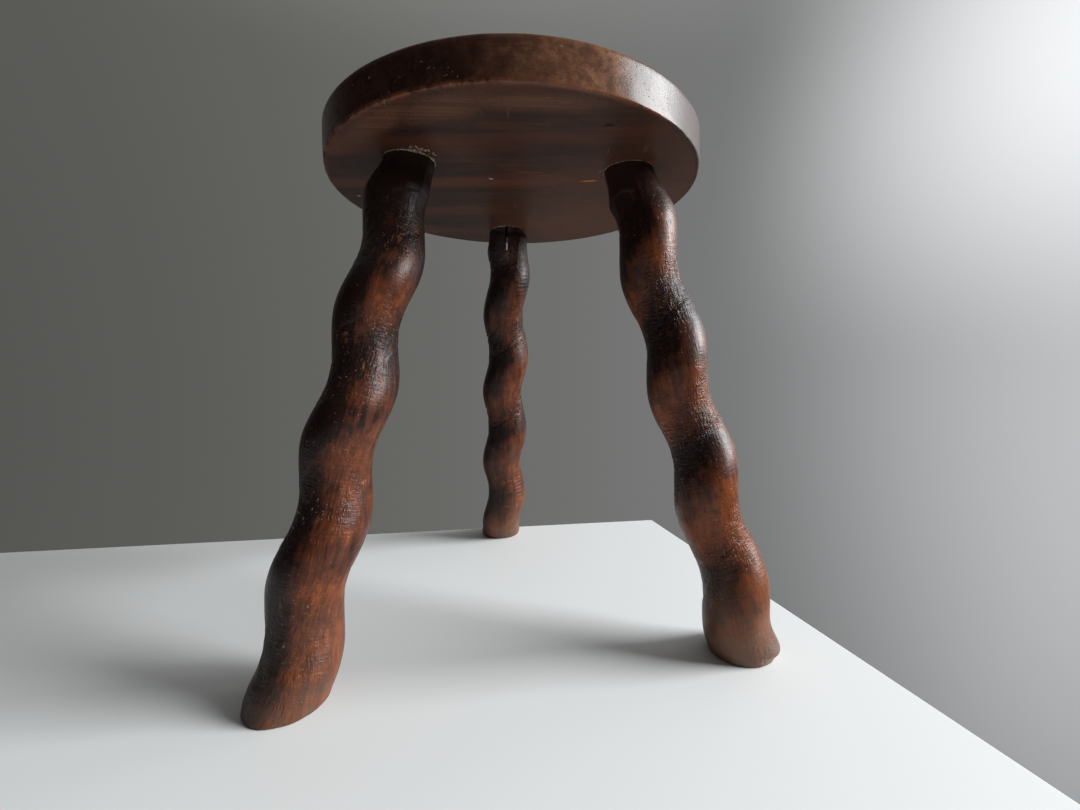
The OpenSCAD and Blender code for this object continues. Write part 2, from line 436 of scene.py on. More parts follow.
def build_leg(leg):
    levels = np.concatenate([
        SOLE_LEVELS,
        np.arange(SPACED_FROM, UNDER_Z / MM + 1, LEG_SPACING),
        np.linspace(UNDER_Z / MM + 2, TOP_Z / MM, TENON_LEVELS),
    ]) * MM
    z, a = np.meshgrid(levels, all_round(LEG_COLS), indexing="ij")
    l = z / leg.up[2]
    lean = leg.direction(a)[..., 2]
    for _ in range(6):
        r = leg.surface_r(l, a)
        l = (z - leg.foot[2] - r * lean) / leg.up[2]
    height = carving(leg, l, r, a)[0]
    zm = z / MM
    # The feet's rims are worn round. The right and left feet flare outwards, and the back foot has a
    # ring round it
    grain = leg.grain(l, r, a) / MM
    rim = 2.0 + 0.7 * noise(grain, 16, leg.seed + 20) + 0.5 * noise(grain, 4, leg.seed + 23)
    inset = rim - np.sqrt(np.maximum(rim**2 - np.maximum(rim - zm, 0) ** 2, 0))
    low = 1 - step(2, 12, zm)
    if leg.side == "right":
        lip = bump_at(a, *RIGHT_LIP)
        height += 4.6 * lip * np.exp(-np.maximum(zm - 8, 0) / 13) * step(-60, -8, -zm)
        chip = 6.0 + 1.6 * noise(grain, 7, 24) + 0.8 * noise(grain, 2.5, 25)
        inset += lip * 0.62 * np.maximum(chip + 1.2 - zm, 0)
    if leg.side == "left":
        height += 1.6 * bell(zm, 3.0, 9.0) * bump_at(a, *LEFT_LIP)
    if leg.side == "back":
        height += 0.9 * bell(zm, 5.0, 4.0) - 0.6 * bell(zm, 13.0, 3.0)
    height = height * (1 - 0.5 * low) - inset
    rings = leg.place(l, r + height * MM, a)
    rings[..., 2] = z
    # The sole, and the tenon's end
    sole, end = [], []
    for f in LEG_END_RINGS:
        ring = rings[0] * f + rings[0].mean(0) * (1 - f)
        ring[:, 2] = (0.30 * (1 - f * f) + 0.05 * noise(ring / MM, 3, 31) * (1 - f)) * MM
        sole.insert(0, ring)
        ring = rings[-1] * f + rings[-1].mean(0) * (1 - f)
        ring[:, 2] = TOP_Z + (0.12 + 0.07 * fractal(ring / MM, 9, 2, 33)) * MM
        end.append(ring)
    rings = np.concatenate([np.array(sole), rings, np.array(end)])
    sole_mid, end_mid = rings[0].mean(0), rings[-1].mean(0)
    o = closed_surface(leg.side + "_leg_carved", rings, sole_mid, end_mid)
    cut(o, slot_cutter(leg))
    smooth(o, WOOD_SHARP)
    co = vertices(o)
    l, r, a = leg.local(co)
    height, hollow = carving(leg, l, r, a)
    attribute(o, "grain", leg.grain(l, r, a) + leg.seed * 0.37, "FLOAT_VECTOR")
    attribute(o, "hollow", hollow)
    attribute(o, "crest", leg.crest(l, a))
    # Painted shade over the stain: the bands are darker on the sides that look to the left, and all
    # is darker high up under the seat and on the left sides, away from the window
    leftward = -leg.direction(a)[:, 0]
    stained_and_shaded = -TWIST_STAIN_AND_SHADE[leg.side] * leg.crest(l + STAIN_AND_SHADE_SHIFT, a) * (0.65 + 0.35 * leftward)
    stained_and_shaded += 1.2 * (co[:, 2] / UNDER_Z - 0.5) + LEFT_SHADE[leg.side] * step(-0.35, 0.85, leftward)
    attribute(o, "stained_and_shaded", STAIN_AND_SHADE_GAIN * stained_and_shaded + STAIN_DEPTH[leg.side])
    attribute(o, "rasped", np.full(len(l), RASPED[leg.side]))
    attribute(o, "relief", height)
    zm = co[:, 2] / MM
    attribute(o, "dirt", DIRTY[leg.side] * (0.35 * step(-90, -30, -zm) + 0.65 * step(-30, -4, -zm)))
    attribute(o, "chipped", (leg.side == "right") * bump_at(a, *RIGHT_LIP) * step(-8.0, -6.0, -zm))
    # Painted shade on the neck, under the seat, with a ragged lower edge
    grain = leg.grain(l, r, a) / MM
    below = (leg.under_l - l) / MM + 14 * fractal(grain, 30, 2, leg.seed + 40)
    attribute(o, "neck", step(-NECK_SHADE[leg.side], -0.45 * NECK_SHADE[leg.side], -below))
    return o


def wedge_section(leg):
    """A wedge's tip, measured up the leg, half its thickness there, and how fast that grows."""
    wedge = vertices(frame["nodes"][leg.side + "_wedge"])
    across = (wedge - leg.foot) @ leg.cut_normal
    up = (wedge - leg.foot) @ leg.up
    tip = up.min()
    tip_half = np.abs(across[up < tip + ON_TIP]).max()
    return tip, tip_half, (np.abs(across).max() - tip_half) / (up.max() - tip)


def slot_cutter(leg):
    """The saw cut down the tenon, opened at its top by the wedge."""
    tip, tip_half, slope = wedge_section(leg)
    bottom = leg.under_l - CUT_DEPTH[leg.side]
    past = leg.length + CUTTER_PAST
    half = tip_half + WEDGE_GAP
    top_half = half + slope * (past - tip)
    side = [(-half, bottom), (half, bottom), (half, tip)]
    side += [(top_half, past), (-top_half, past), (-half, tip)]
    points = [
        leg.foot + leg.cut_normal * x + leg.up * y + leg.cut_along * s * CUTTER_REACH
        for s in (-1, 1) for x, y in side
    ]
    n = len(side)
    faces = [list(range(n))[::-1], list(range(n, 2 * n))]
    faces += [[i, (i + 1) % n, n + (i + 1) % n, n + i] for i in range(n)]
    return new_mesh_of_faces("cutter", points, faces)


# -------- the seat

TOP_EDGE_R, UNDER_EDGE_R = 2 * MM, 1.4 * MM
# Spacing of the rings on the seat's flat faces, and steps in its edges and down its side
SEAT_SPACING = 2.2 * MM
TOP_EDGE_STEPS, UNDER_EDGE_STEPS, SIDE_STEPS = 8, 6, 12
SEAT_COLS, MORTISE_COLS = 480, 96
# Depth and width of the knot hole in the underside, in mm
KNOT_DEPTH, KNOT_WIDTH = 1.4, 2.8
# How far a mortise stands off its tenon, and its cutter past the seat
MORTISE_GAP, MORTISE_PAST = 0.12 * MM, 25 * MM


def seat_profile():
    """(radius, height) along the top, round the side and back under, from axis to axis."""
    flat_r = SEAT_R - TOP_EDGE_R
    n = int(flat_r / SEAT_SPACING)
    top = [(flat_r * i / n, TOP_Z) for i in range(1, n + 1)]
    low, high = UNDER_Z + UNDER_EDGE_R, TOP_Z - TOP_EDGE_R
    for i in range(1, TOP_EDGE_STEPS + 1):
        t = math.pi / 2 * (1 - i / TOP_EDGE_STEPS)
        top.append((flat_r + TOP_EDGE_R * math.cos(t), high + TOP_EDGE_R * math.sin(t)))
    side = [(SEAT_R, high + (low - high) * i / SIDE_STEPS) for i in range(1, SIDE_STEPS)]
    flat_r = SEAT_R - UNDER_EDGE_R
    under = [
        (flat_r + UNDER_EDGE_R * math.cos(t), low - UNDER_EDGE_R * math.sin(t))
        for t in [math.pi / 2 * i / UNDER_EDGE_STEPS for i in range(UNDER_EDGE_STEPS + 1)]
    ]
    n = int(flat_r / SEAT_SPACING)
    under += [(flat_r * (1 - i / n), UNDER_Z) for i in range(1, n)]
    return np.array(top + side + under)


def build_seat():
    profile = seat_profile()[::-1]
    r, a = np.meshgrid(profile[:, 0], all_round(SEAT_COLS), indexing="ij")
    z = np.broadcast_to(profile[:, 1][:, None], r.shape).copy()
    x, y = SEAT_AXIS[0] + r * np.cos(a), SEAT_AXIS[1] + r * np.sin(a)
    p = np.stack([x, y, z], -1) / MM
    rim = step(0.9, 0.99, r / SEAT_R)
    # The rim was cut by hand, so it isn't quite round, and its edges are dented and worn
    out = 0.5 * fractal(p, 70, 2, 51) + 0.16 * fractal(p, 16, 2, 52)
    low_edge = bell((z - UNDER_Z) / MM, 0.8, 1.6) * step(0.96, 0.995, r / SEAT_R)
    high_edge = bell((TOP_Z - z) / MM, 0.6, 1.2) * step(0.95, 0.985, r / SEAT_R)
    nicks = 0.45 * step(0.25, 0.7, noise(p, 4, 57))
    out -= low_edge * (0.10 + 0.20 * step(0.0, 0.8, noise(p, 9, 53)) + nicks)
    out -= high_edge * (0.15 + 0.3 * step(0.1, 0.9, noise(p, 12, 54)))
    out = out * rim
    # Plane marks and the swell of the grain on the flat faces
    along = p * np.array([0.25, 1.0, 1.0])
    rise = 0.10 * fractal(along, 14, 2, 55) + 0.16 * fractal(p, 90, 1, 56)
    x += np.cos(a) * out * MM
    y += np.sin(a) * out * MM
    z += rise * (1 - rim) * MM
    # A knot that fell out of the underside
    knot = SEAT_AXIS[:2] + np.array(KNOT[0]) * MM
    d = np.hypot(x - knot[0], (y - knot[1]) * 2.0) / MM
    z += np.where(z < SEAT_AXIS[2], KNOT_DEPTH * bell(d, 0, KNOT_WIDTH) * MM, 0)
    rings = np.stack([x, y, z], -1)
    low, high = (np.array([*SEAT_AXIS[:2], rings[end, :, 2].mean()]) for end in (0, -1))
    o = closed_surface("seat_board", rings, low, high)
    for leg in legs:
        cut(o, mortise_cutter(leg))
    smooth(o, WOOD_SHARP)
    p = vertices(o)
    r = np.hypot(p[:, 0] - SEAT_AXIS[0], p[:, 1] - SEAT_AXIS[1])
    outer = step(SEAT_R - 3 * MM, SEAT_R - 1 * MM, r)
    attribute(o, "side", step(SEAT_R - 2.2 * MM, SEAT_R - 0.9 * MM, r))
    attribute(o, "low_edge", outer * bell((p[:, 2] - UNDER_Z) / MM, 0.8, 1.1))
    attribute(o, "high_edge", outer * bell((TOP_Z - p[:, 2]) / MM, 0.8, 1.1))
    return o


def mortise_cutter(leg):
    """A round bar along the leg's axis, a little wider than its tenon and longer than the hole."""
    a = all_round(MORTISE_COLS)
    r = np.full(MORTISE_COLS, leg.tenon_r + MORTISE_GAP)
    ends = (leg.under_l - MORTISE_PAST, leg.length + MORTISE_PAST)
    low, high = (leg.place(np.full(MORTISE_COLS, l), r, a) for l in ends)
    return closed_surface("cutter", np.stack([low, high]), low.mean(0), high.mean(0))


# -------- the wedges

# Rings of points up a wedge, points along and across each, and the rings of its end, as shares of
# its rim
WEDGE_ROWS, WEDGE_COLS = 10, (40, 5)
WEDGE_END_RINGS = (0.94, 0.75, 0.5, 0.25)


def build_wedge(leg):
    """The wedge in the tenon's saw cut: its end grain stands a hair above the seat."""
    tip, tip_half, slope = wedge_section(leg)
    reach = leg.tenon_r - 0.1 * MM
    rings = []
    for i in range(WEDGE_ROWS):
        f = i / (WEDGE_ROWS - 1)
        ring = []
        for s, t in outline(*WEDGE_COLS):
            # The rows run from the tip to where this point's line up the leg comes out of the seat
            y = reach * 0.995 * s
            top_l = (TOP_Z + 0.3 * MM - leg.foot[2] - leg.cut_along[2] * y) / leg.up[2]
            level = tip + (top_l - tip) * f
            x = (tip_half + slope * (level - tip) - 0.02 * MM) * t
            y = math.sqrt(reach**2 - x * x) * s
            ring.append(leg.foot + leg.cut_normal * x + leg.cut_along * y + leg.up * level)
        rings.append(ring)
    rings = np.array(rings)
    end = []
    for f in WEDGE_END_RINGS:
        ring = rings[-1] * f + rings[-1].mean(0) * (1 - f)
        ring[:, 2] = TOP_Z + (0.40 + 0.08 * noise(ring / MM, 2.5, 61)) * MM
        end.append(ring)
    rings = np.concatenate([rings, np.array(end)])
    o = closed_surface(leg.side + "_wedge_end", rings, rings[0].mean(0), rings[-1].mean(0))
    smooth(o, WOOD_SHARP)
    l, r, a = leg.local(vertices(o))
    attribute(o, "grain", leg.grain(l, r, a) + leg.seed * 0.71 + 0.2, "FLOAT_VECTOR")
    return o


def outline(along, across):
    """(s, t) from -1 to 1 round a strip's edge, counterclockwise with t along the cut's normal."""
    s = np.linspace(-1, 1, along)
    t = np.linspace(-1, 1, across)
    points = [(v, 1.0) for v in s] + [(1.0, v) for v in t[::-1][1:-1]]
    points += [(v, -1.0) for v in s[::-1]] + [(-1.0, v) for v in t[1:-1]]
    return points[::-1]


# -------- dried glue

# Points round a bead of glue and round its section, and its least width in mm
BEAD_ROWS, BEAD_COLS, BEAD_LEAST = 220, 10, 0.16
# The least and the most of a crumb's size and of its distance from the leg, in mm
CRUMB_SIZE, CRUMB_REACH = (0.35, 1.15), (0.5, 7.5)


def build_glue(leg, thick, towards, spread, crumbs):
    """A bead of dried glue where a leg meets the underside, thickest towards one side, with crumbs."""
    a = all_round(BEAD_ROWS)
    r = np.full(BEAD_ROWS, leg.tenon_r)
    lean = leg.direction(a)[..., 2]
    joint = leg.place((UNDER_Z - leg.foot[2] - r * lean) / leg.up[2], r, a)
    outward = joint - joint.mean(0)
    outward /= np.linalg.norm(outward, axis=1)[:, None]
    heading = np.arctan2(outward[:, 1], outward[:, 0])
    width = 0.30 + thick * bump_at(heading, math.radians(towards), math.radians(spread))
    beads = step(-0.5, 0.9, noise(joint / MM, 6.0, 71))
    width *= 0.45 + 1.0 * beads + 0.3 * noise(joint / MM, 2.2, 72)
    width = np.maximum(width, BEAD_LEAST)
    t = all_round(BEAD_COLS)[None, :, None]
    section = outward[:, None] * np.cos(t) - np.array([0, 0, 1.0]) * np.sin(t)
    middle = joint + outward * (0.35 * width * MM)[:, None]
    middle = middle - np.array([0, 0, 0.1]) * width[:, None] * MM
    points = middle[:, None] + section * (width * MM)[:, None, None]
    rough = noise(points / MM, 1.1, 73)[..., None] * section * (0.22 * width * MM)[:, None, None]
    points = (points + rough).reshape(-1, 3)
    i, j = np.arange(BEAD_ROWS)[:, None] * BEAD_COLS, np.arange(BEAD_COLS)
    i2, j2 = (i + BEAD_COLS) % len(points), (j + 1) % BEAD_COLS
    quads = np.stack([i + j, i + j2, i2 + j2, i2 + j], -1)
    o = new_object(leg.side + "_glue_bead", points, quads.ravel(), np.full(len(points), 4))
    bm = bmesh.new()
    bm.from_mesh(o.data)
    rng = np.random.default_rng(leg.seed)
    for _ in range(crumbs):
        turn = math.radians(towards + spread * rng.uniform(-0.8, 0.5))
        size = rng.uniform(*CRUMB_SIZE) * MM
        reach = leg.tenon_r + rng.uniform(*CRUMB_REACH) * MM
        at = joint.mean(0)[:2] + reach * np.array([math.cos(turn), math.sin(turn)])
        at = Vector((*at, UNDER_Z))
        made = bmesh.ops.create_icosphere(bm, subdivisions=2, radius=1.0)["verts"]
        shape = np.array([size * rng.uniform(0.8, 2.2), size, size * 0.6])
        twist = Matrix.Rotation(rng.uniform(0, math.pi), 3, "Z")
        for v in made:
            lump = 1 + 0.35 * noise(np.array(v.co) * 1.3, 1.0, 74 + int(size / MM * 100))
            v.co = at + twist @ Vector(np.array(v.co) * shape * lump)
    bmesh.ops.recalc_face_normals(bm, faces=bm.faces)
    bm.to_mesh(o.data)
    bm.free()
    smooth(o, GLUE_SHARP)
    return o


# -------- materials

# A colour mix's sockets, which share their names with those for other kinds of value
MIX_FACTOR, MIX_A, MIX_B, MIXED = 0, 6, 7, 2


class Nodes:
    """A node tree, written as a chain of calls that return sockets."""

    def __init__(self, owner):
        owner.use_nodes = True
        self.tree = owner.node_tree
        self.tree.nodes.clear()

    def node(self, kind, inputs=None, **props):
        """Adds a node, and returns its outputs."""
        n = self.tree.nodes.new("ShaderNode" + kind)
        for key, value in props.items():
            setattr(n, key, value)
        for key, value in (inputs or {}).items():
            self.set(n.inputs[key], value)
        return n.outputs

    def set(self, socket, value):
        if isinstance(value, bpy.types.NodeSocket):
            self.tree.links.new(value, socket)
        elif socket.type == "RGBA":
            socket.default_value = (*value, 1)
        else:
            socket.default_value = value

    def attr(self, name, output="Fac"):
        return self.node("Attribute", attribute_name=name)[output]

    def place(self, kind):
        return self.node("TexCoord")[kind]

    def stretch(self, vector, scale, shift=(0, 0, 0), turn=(0, 0, 0)):
        inputs = {"Vector": vector, "Scale": scale, "Location": shift, "Rotation": turn}
        return self.node("Mapping", inputs)[0]

    def noise(self, vector, scale, detail=2, rough=0.5):
        inputs = {"Vector": vector, "Scale": scale, "Detail": detail, "Roughness": rough}
        return self.node("TexNoise", inputs)[0]

    def cells(self, vector, scale):
        inputs = {"Vector": vector, "Scale": scale}
        return self.node("TexVoronoi", inputs, feature="F1")["Distance"]

    def math(self, op, a, b=0, c=0):
        return self.node("Math", {0: a, 1: b, 2: c}, operation=op)[0]

    def times(self, a, b):
        return self.math("MULTIPLY", a, b)

    def plus(self, a, b):
        return self.math("ADD", a, b)

    def times_plus(self, a, b, c):
        return self.math("MULTIPLY_ADD", a, b, c)

    def range(self, value, low, high, to_low=0, to_high=1):
        inputs = {0: value, 1: low, 2: high, 3: to_low, 4: to_high}
        return self.node("MapRange", inputs, interpolation_type="SMOOTHSTEP")[0]

    def mix(self, fac, a, b):
        inputs = {MIX_FACTOR: fac, MIX_A: a, MIX_B: b}
        return self.node("Mix", inputs, data_type="RGBA")[MIXED]

    def bump(self, height, distance):
        inputs = {"Height": height, "Distance": distance, "Strength": 1}
        return self.node("Bump", inputs)[0]

    def split(self, vector):
        return self.node("SeparateXYZ", {0: vector})


class Material(Nodes):
    """A material with one Principled shader, and a colour that is built up in layers."""

    def __init__(self, name):
        self.material = bpy.data.materials.new(name)
        super().__init__(self.material)
        self.shader = self.tree.nodes.new("ShaderNodeBsdfPrincipled")
        self.node("OutputMaterial", {0: self.shader.outputs[0]})

    def paint(self, factor, *colour):
        """Lays a colour over the layers so far."""
        self.colour = self.mix(factor, self.colour, colour)

    def shade(self, **values):
        for key, value in values.items():
            self.set(self.shader.inputs[key.replace("_", " ")], value)


def growth_rings(m, place, ring_scale, pith):
    """Growth rings round a pith that runs along local Z, from 0 to 1, wavering along the grain."""
    waver = m.noise(m.stretch(place, (1, 1, 0.16), pith), 26, 3, 0.55)
    x, y, _ = m.split(m.stretch(place, (1, 1, 1), pith))
    r = m.math("SQRT", m.plus(m.times(x, x), m.times(y, y)))
    rings = m.times_plus(waver, 5, m.times(r, ring_scale))
    saw = m.math("FRACT", rings)
    return m.times(m.range(saw, 0, 0.72), m.range(saw, 1, 0.86))


def centred(m, value, gain):
    """A noise value moved to lie about 0 and made stronger."""
    return m.times_plus(value, gain, -0.5 * gain)


def pores(m, place, scale, length):
    """Dark open pores, in dashes along the grain, in some places more than in others."""
    dashes = m.range(m.cells(m.stretch(place, (1, 1, 1 / length)), scale), 0.20, 0.06)
    some = m.range(m.noise(m.stretch(place, (1, 1, 0.2)), 80, 3), 0.40, 0.62)
    return m.times(dashes, some)


def greatest(m, values):
    total = values[0]
    for value in values[1:]:
        total = m.math("MAXIMUM", total, value)
    return total


def scratches(m, place, scale, density):
    """Long fine scratches in three directions, in patches."""
    found = []
    for turn, shift in (((0.9, 0.4, 0.2), 0.3), ((-0.7, 0.8, 1.1), 0.8), ((0.3, -1, 0.5), 0.55)):
        lines = m.stretch(place, (1, 0.05, 1), (shift, shift, 0), turn)
        line = m.range(m.noise(lines, scale, 1, 0.4), 0.70, 0.76)
        patch = m.noise(m.stretch(place, (1, 1, 1), (shift, 0, 0)), 55, 3)
        found.append(m.times(line, m.range(patch, 0.62 - density, 0.70 - density)))
    return greatest(m, found)


def leg_material():
    m = Material("leg_stained_wood")
    place = m.attr("grain", "Vector")
    hollow, crest, relief, stained_and_shaded, rasp, dirt, neck = (
        m.attr(name) for name in ("hollow", "crest", "relief", "stained_and_shaded", "rasped", "dirt", "neck")
    )
    blotch = m.noise(place, 27, 4, 0.6)
    patchy = m.noise(place, 110, 4, 0.65)
    streak = m.noise(m.stretch(place, (1, 1, 0.10)), 230, 5, 0.65)
    fibre = m.noise(m.stretch(place, (1, 1, 0.05)), 1100, 3, 0.6)
    hatch = rasp_marks(m, place)
    open_pores = pores(m, place, 640, 10)
    scratch = scratches(m, place, 620, 0.10)
    in_hollow = m.range(hollow, 0.1, 0.9)
    # The stain is thick and dark in the hollows, and rubbed thin and orange on the crests. Painted
    # shade adds darkness high up, on the left sides and a little below the middle of each hollow
    darkness = m.plus(stained_and_shaded, m.plus(centred(m, blotch, 1.7), centred(m, patchy, 0.8)))
    darkness = m.plus(darkness, centred(m, streak, 1.3))
    m.colour = m.mix(m.range(darkness, -0.05, 0.55), (0.222, 0.057, 0.015), (0.080, 0.022, 0.010))
    m.paint(m.range(darkness, 0.48, 0.88), 0.011, 0.005, 0.0045)
    m.paint(m.range(fibre, 0.42, 0.70, 0, 0.30), 0.045, 0.014, 0.008)
    rings = growth_rings(m, place, 230, (0.03, 0.05, 0))
    m.paint(m.times(rings, 0.12), 0.045, 0.015, 0.008)
    lows = m.plus(relief, centred(m, patchy, 0.3))
    m.paint(m.range(lows, -0.1, -0.7, 0, 0.4), 0.022, 0.010, 0.008)
    # Fine dark lines that cross the grain and follow it, as on a rasped face
    weave = m.times(m.range(hatch, 0.16, 0.04), m.range(patchy, 0.40, 0.62))
    weave = m.times(weave, m.times(rasp, 0.5))
    m.paint(weave, 0.018, 0.008, 0.006)
    m.paint(m.times(open_pores, 0.6), 0.014, 0.007, 0.006)
    # Torn orange fibres and scratches that show paler wood, most of them where the hollows begin
    border = m.times(m.range(hollow, 0, 0.4), m.range(hollow, 1, 0.6, 0.35, 1))
    torn = m.times(m.range(streak, 0.54, 0.63), m.range(patchy, 0.48, 0.58))
    m.paint(m.times(torn, m.times(border, 0.6)), 0.34, 0.12, 0.040)
    rubbed = m.times(scratch, m.range(hollow, 0.1, 0.7, 0.30, 0.85))
    m.paint(rubbed, 0.34, 0.21, 0.13)
    # Dirt at the foot, and painted shade on the neck, under the seat
    dusty = m.times(dirt, m.range(patchy, 0.3, 0.7, 0.35, 0.90))
    m.paint(dusty, 0.175, 0.128, 0.096)
    chipped = m.times(m.attr("chipped"), m.range(patchy, 0.35, 0.55, 0.3, 0.9))
    m.paint(chipped, 0.28, 0.20, 0.14)
    m.paint(m.times(neck, 0.75), 0.016, 0.0075, 0.006)
    rough = m.times_plus(in_hollow, 0.03, 0.27)
    rough = m.plus(rough, m.times(patchy, 0.16))
    rough = m.times_plus(dirt, 0.16, rough)
    rough = m.times_plus(open_pores, 0.15, rough)
    grit = m.noise(place, 800, 4, 0.65)
    fine = m.times_plus(fibre, 0.30, m.times(open_pores, -0.9))
    fine = m.times_plus(scratch, -0.4, fine)
    rasped = m.range(m.plus(crest, centred(m, patchy, 2)), 0.85, -0.35)
    rasped = m.times(rasped, m.math("SUBTRACT", rasp, m.times(neck, rasp)))
    fine = m.times_plus(hatch, m.times_plus(rasped, 2.8, 0.5), fine)
    fine = m.times_plus(grit, m.times_plus(rasped, 1.6, 0.15), fine)
    m.shade(
        Base_Color=m.colour, Roughness=rough, Normal=m.bump(fine, 0.20 * MM), Specular_IOR_Level=0.24
    )
    return m.material


def rasp_marks(m, place):
    """The marks of a rasp: fine ridges across the grain, broken up along it."""
    over = m.noise(m.stretch(place, (0.25, 0.25, 1)), 600, 2, 0.6)
    along = m.noise(m.stretch(place, (1, 1, 0.20)), 600, 2, 0.5)
    return m.times(m.range(over, 0.3, 0.7), m.range(along, 0.3, 0.7))


# Marks on the seat's underside: (x, y) from its middle and (length, width) in mm, and turn in radians
KNOT = ((62.7, -111.8), (6.5, 3.2), 0.1)
ORANGE_MARK = ((62, -27), (13, 3), -0.15)
RED_STREAKS = (
    ((10, -42), (24, 1.8), 0.03),
    ((-2, -46.5), (14, 1.3), 0.1),
    ((24, -36), (16, 1.2), -0.05),
)
RED_SPOTS = (
    ((104.9, -62.5), (6, 4.5), 0.5),
    ((-26.5, 88), (8, 2.6), 0.1),
    ((-12, 83.5), (6, 1.6), 0.2),
)
PALE_SPECKS = (((-19.7, -28.9), (3.8, 1.3), 0.2), ((-139.8, 9.5), (3.4, 1.3), 0.2))
# Painted shade cast by the legs on the underside, towards the front
LEG_SHADE_PATCHES = (((-80, -74), (70, 40), 0.1), ((10, -82), (110, 40), 0))
WORN_PATCHES = (
    ((-88, -112), (70, 20), -0.75),
    ((-45, -128), (60, 24), -0.35),
    ((10, -136), (80, 16), 0),
)
# Half the height of the space that a mark fills, in mm
MARK_DEPTH = 4
# The way that the seat's paler front and right look, as seen from above
PALE_RIM_X, PALE_RIM_Y = 0.64, -0.77


def mark(m, place, spot, ragged=0.5, soft=0.25):
    """1 on a mark on the seat's underside and 0 off it, with a ragged edge that may be soft."""
    (x, y), (length, width), turn = spot
    middle = Vector((SEAT_AXIS[0] + x * MM, SEAT_AXIS[1] + y * MM, UNDER_Z))
    half = Vector((length / 2, width / 2, MARK_DEPTH)) * MM
    offset = m.node("VectorMath", {0: place, 1: middle}, operation="SUBTRACT")[0]
    turned = m.stretch(offset, (1, 1, 1), turn=(0, 0, -turn))
    scaled = m.node("VectorMath", {0: turned, 1: half}, operation="DIVIDE")[0]
    reach = m.node("VectorMath", {0: scaled}, operation="LENGTH")["Value"]
    reach = m.plus(reach, centred(m, m.noise(place, 700, 3, 0.6), 2 * ragged))
    return m.range(reach, 1 + soft, 1 - soft)


def marks(m, place, spots, ragged, soft=0.25):
    return greatest(m, [mark(m, place, spot, ragged, soft) for spot in spots])


